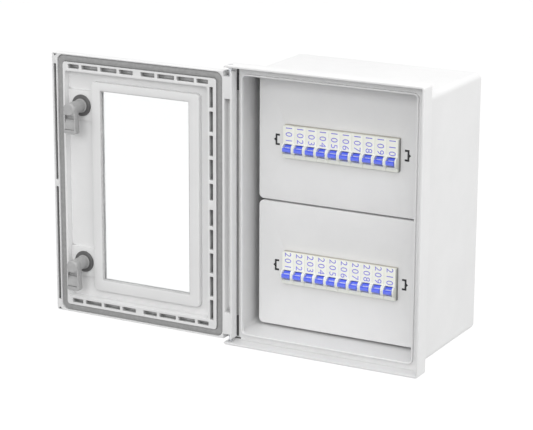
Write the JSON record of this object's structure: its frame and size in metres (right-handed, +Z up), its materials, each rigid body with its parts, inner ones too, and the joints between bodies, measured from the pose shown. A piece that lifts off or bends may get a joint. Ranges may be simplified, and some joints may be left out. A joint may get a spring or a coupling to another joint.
{
  "type": "dc combiner box",
  "caption": "Wall-mounted light-grey moulded enclosure with two rows of breakers behind cover panels and a hinged window door with quarter-turn locks, open.",
  "frame": {"origin": "centre of the rear face that lies on the wall", "axes": "+Z up, +X right seen from the front, +Y into the wall"},
  "size_m": [0.58, 0.232, 0.4],
  "materials": {
    "enclosure_grey": "fine satin moulded thermoplastic, very light grey",
    "cover_grey": "fine textured moulded panel, light grey",
    "breaker_white": "smooth moulded thermoset, warm white",
    "toggle_blue": "smooth moulded, strong blue",
    "gasket_grey": "foamed-in-place soft seal, mid grey",
    "window_clear": "clear polished sheet",
    "lock_metal": "satin die-cast zinc",
    "nut_dark": "dark grey moulded ring nut",
    "zinc_steel": "zinc-plated steel sheet and pins"
  },
  "bodies": {
    "enclosure": {"enclosure_base": "enclosure_grey", "mounting_frame": "zinc_steel", "din_rail_upper": "zinc_steel", "din_rail_lower": "zinc_steel", "cover_panel_upper": "cover_grey", "cover_panel_lower": "cover_grey", "breaker_body_101": "breaker_white", "breaker_body_102": "breaker_white", "breaker_body_103": "breaker_white", "breaker_body_104": "breaker_white", "breaker_body_105": "breaker_white", "breaker_body_106": "breaker_white", "breaker_body_107": "breaker_white", "breaker_body_108": "breaker_white", "breaker_body_109": "breaker_white", "breaker_body_110": "breaker_white", "breaker_body_201": "breaker_white", "breaker_body_202": "breaker_white", "breaker_body_203": "breaker_white", "breaker_body_204": "breaker_white", "breaker_body_205": "breaker_white", "breaker_body_206": "breaker_white", "breaker_body_207": "breaker_white", "breaker_body_208": "breaker_white", "breaker_body_209": "breaker_white", "breaker_body_210": "breaker_white"},
    "door": {"door_shell": "enclosure_grey", "door_gasket": "gasket_grey", "window_pane": "window_clear", "window_frame": "enclosure_grey", "hinge_pin_upper": "zinc_steel", "hinge_pin_lower": "zinc_steel", "lock_body_upper": "lock_metal", "lock_body_lower": "lock_metal", "lock_nut_upper": "nut_dark", "lock_nut_lower": "nut_dark"},
    "lock_upper": {"lock_spindle_upper": "lock_metal", "lock_cam_upper": "lock_metal"},
    "lock_lower": {"lock_spindle_lower": "lock_metal", "lock_cam_lower": "lock_metal"},
    "toggle_101": {"breaker_toggle_101": "toggle_blue"},
    "toggle_102": {"breaker_toggle_102": "toggle_blue"},
    "toggle_103": {"breaker_toggle_103": "toggle_blue"},
    "toggle_104": {"breaker_toggle_104": "toggle_blue"},
    "toggle_105": {"breaker_toggle_105": "toggle_blue"},
    "toggle_106": {"breaker_toggle_106": "toggle_blue"},
    "toggle_107": {"breaker_toggle_107": "toggle_blue"},
    "toggle_108": {"breaker_toggle_108": "toggle_blue"},
    "toggle_109": {"breaker_toggle_109": "toggle_blue"},
    "toggle_110": {"breaker_toggle_110": "toggle_blue"},
    "toggle_201": {"breaker_toggle_201": "toggle_blue"},
    "toggle_202": {"breaker_toggle_202": "toggle_blue"},
    "toggle_203": {"breaker_toggle_203": "toggle_blue"},
    "toggle_204": {"breaker_toggle_204": "toggle_blue"},
    "toggle_205": {"breaker_toggle_205": "toggle_blue"},
    "toggle_206": {"breaker_toggle_206": "toggle_blue"},
    "toggle_207": {"breaker_toggle_207": "toggle_blue"},
    "toggle_208": {"breaker_toggle_208": "toggle_blue"},
    "toggle_209": {"breaker_toggle_209": "toggle_blue"},
    "toggle_210": {"breaker_toggle_210": "toggle_blue"}
  },
  "joints": [
    {"name": "door_hinge", "type": "hinge", "parent": "enclosure", "child": "door", "pos_m": [-0.1434, -0.197, 0], "axis": [0, 0, 1], "range_deg": [0, 180]},
    {"name": "lock_turn_upper", "type": "hinge", "parent": "door", "child": "lock_upper", "pos_m": [-0.3872, -0.197, 0.117], "axis": [0, 1, 0], "range_deg": [0, 90]},
    {"name": "lock_turn_lower", "type": "hinge", "parent": "door", "child": "lock_lower", "pos_m": [-0.3872, -0.197, -0.115], "axis": [0, 1, 0], "range_deg": [0, 90]},
    {"name": "toggle_turn_101", "type": "hinge", "parent": "enclosure", "child": "toggle_101", "pos_m": [-0.07875, -0.146, 0.0788], "axis": [-1, 0, 0], "range_deg": [-36, 36]},
    {"name": "toggle_turn_102", "type": "hinge", "parent": "enclosure", "child": "toggle_102", "pos_m": [-0.06125, -0.146, 0.0788], "axis": [-1, 0, 0], "range_deg": [-36, 36]},
    {"name": "toggle_turn_103", "type": "hinge", "parent": "enclosure", "child": "toggle_103", "pos_m": [-0.04375, -0.146, 0.0788], "axis": [-1, 0, 0], "range_deg": [-36, 36]},
    {"name": "toggle_turn_104", "type": "hinge", "parent": "enclosure", "child": "toggle_104", "pos_m": [-0.02625, -0.146, 0.0788], "axis": [-1, 0, 0], "range_deg": [-36, 36]},
    {"name": "toggle_turn_105", "type": "hinge", "parent": "enclosure", "child": "toggle_105", "pos_m": [-0.00875, -0.146, 0.0788], "axis": [-1, 0, 0], "range_deg": [-36, 36]},
    {"name": "toggle_turn_106", "type": "hinge", "parent": "enclosure", "child": "toggle_106", "pos_m": [0.00875, -0.146, 0.0788], "axis": [-1, 0, 0], "range_deg": [-36, 36]},
    {"name": "toggle_turn_107", "type": "hinge", "parent": "enclosure", "child": "toggle_107", "pos_m": [0.02625, -0.146, 0.0788], "axis": [-1, 0, 0], "range_deg": [-36, 36]},
    {"name": "toggle_turn_108", "type": "hinge", "parent": "enclosure", "child": "toggle_108", "pos_m": [0.04375, -0.146, 0.0788], "axis": [-1, 0, 0], "range_deg": [-36, 36]},
    {"name": "toggle_turn_109", "type": "hinge", "parent": "enclosure", "child": "toggle_109", "pos_m": [0.06125, -0.146, 0.0788], "axis": [-1, 0, 0], "range_deg": [-36, 36]},
    {"name": "toggle_turn_110", "type": "hinge", "parent": "enclosure", "child": "toggle_110", "pos_m": [0.07875, -0.146, 0.0788], "axis": [-1, 0, 0], "range_deg": [-36, 36]},
    {"name": "toggle_turn_201", "type": "hinge", "parent": "enclosure", "child": "toggle_201", "pos_m": [-0.07875, -0.146, -0.103], "axis": [-1, 0, 0], "range_deg": [-36, 36]},
    {"name": "toggle_turn_202", "type": "hinge", "parent": "enclosure", "child": "toggle_202", "pos_m": [-0.06125, -0.146, -0.103], "axis": [-1, 0, 0], "range_deg": [-36, 36]},
    {"name": "toggle_turn_203", "type": "hinge", "parent": "enclosure", "child": "toggle_203", "pos_m": [-0.04375, -0.146, -0.103], "axis": [-1, 0, 0], "range_deg": [-36, 36]},
    {"name": "toggle_turn_204", "type": "hinge", "parent": "enclosure", "child": "toggle_204", "pos_m": [-0.02625, -0.146, -0.103], "axis": [-1, 0, 0], "range_deg": [-36, 36]},
    {"name": "toggle_turn_205", "type": "hinge", "parent": "enclosure", "child": "toggle_205", "pos_m": [-0.00875, -0.146, -0.103], "axis": [-1, 0, 0], "range_deg": [-36, 36]},
    {"name": "toggle_turn_206", "type": "hinge", "parent": "enclosure", "child": "toggle_206", "pos_m": [0.00875, -0.146, -0.103], "axis": [-1, 0, 0], "range_deg": [-36, 36]},
    {"name": "toggle_turn_207", "type": "hinge", "parent": "enclosure", "child": "toggle_207", "pos_m": [0.02625, -0.146, -0.103], "axis": [-1, 0, 0], "range_deg": [-36, 36]},
    {"name": "toggle_turn_208", "type": "hinge", "parent": "enclosure", "child": "toggle_208", "pos_m": [0.04375, -0.146, -0.103], "axis": [-1, 0, 0], "range_deg": [-36, 36]},
    {"name": "toggle_turn_209", "type": "hinge", "parent": "enclosure", "child": "toggle_209", "pos_m": [0.06125, -0.146, -0.103], "axis": [-1, 0, 0], "range_deg": [-36, 36]},
    {"name": "toggle_turn_210", "type": "hinge", "parent": "enclosure", "child": "toggle_210", "pos_m": [0.07875, -0.146, -0.103], "axis": [-1, 0, 0], "range_deg": [-36, 36]}
  ]
}
